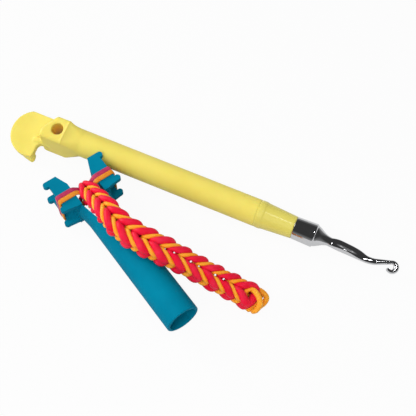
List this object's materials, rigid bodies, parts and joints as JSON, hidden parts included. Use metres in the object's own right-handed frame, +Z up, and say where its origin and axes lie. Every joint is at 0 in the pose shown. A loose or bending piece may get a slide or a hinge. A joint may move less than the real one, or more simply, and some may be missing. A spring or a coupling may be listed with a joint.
{
  "type": "rubber band loom set",
  "caption": "Rubber band loom set: hand-held two-prong mini loom with a fishtail bracelet of rubber bands on its prongs, beside a plastic-handled metal hook tool.",
  "frame": {"origin": "centre of the mouth of the mini loom's tube, on the tube's axis", "axes": "+X to the right across the two prongs, +Y along the mini loom from its mouth to its prong tips, +Z up from the table, right-handed"},
  "size_m": [0.0834, 0.1293, 0.0199],
  "materials": {
    "yellow_plastic": "satin moulded pale yellow plastic",
    "teal_plastic": "satin moulded teal plastic",
    "hook_chrome": "bright chrome plate",
    "red_rubber": "smooth translucent red silicone",
    "orange_rubber": "smooth translucent orange silicone"
  },
  "bodies": {
    "hook_tool": {"handle": "yellow_plastic", "nose_cone": "yellow_plastic", "metal_hook": "hook_chrome"},
    "mini_loom": {"mini_loom": "teal_plastic"},
    "peg_bands": {"peg_band_red": "red_rubber", "peg_band_orange": "orange_rubber"},
    "bracelet": {"band_01": "red_rubber", "band_02": "orange_rubber", "band_03": "red_rubber", "band_04": "orange_rubber", "band_05": "red_rubber", "band_06": "orange_rubber", "band_07": "red_rubber", "band_08": "orange_rubber", "band_09": "red_rubber", "band_10": "orange_rubber", "band_11": "red_rubber", "band_12": "orange_rubber", "band_13": "red_rubber", "band_14": "orange_rubber", "band_15": "red_rubber", "band_16": "orange_rubber", "band_17": "red_rubber", "band_18": "orange_rubber", "band_19": "red_rubber", "band_20": "orange_rubber", "band_21": "red_rubber", "band_22": "orange_rubber", "band_23": "red_rubber", "band_24": "orange_rubber"}
  },
  "joints": [
    {"name": "loom_slide", "type": "slide", "parent": "hook_tool", "child": "mini_loom", "axis": [-1, 0, 0], "range_m": [0, 0.04]},
    {"name": "band_slide", "type": "slide", "parent": "mini_loom", "child": "peg_bands", "axis": [0, 1, 0], "range_m": [0, 0.003]},
    {"name": "bracelet_swing", "type": "hinge", "parent": "peg_bands", "child": "bracelet", "pos_m": [0, 0.0574, 0.0032], "axis": [-1, 0, 0], "range_deg": [0, 75], "deforming": ["peg_band_red", "peg_band_orange", "band_01", "band_02"]}
  ]
}
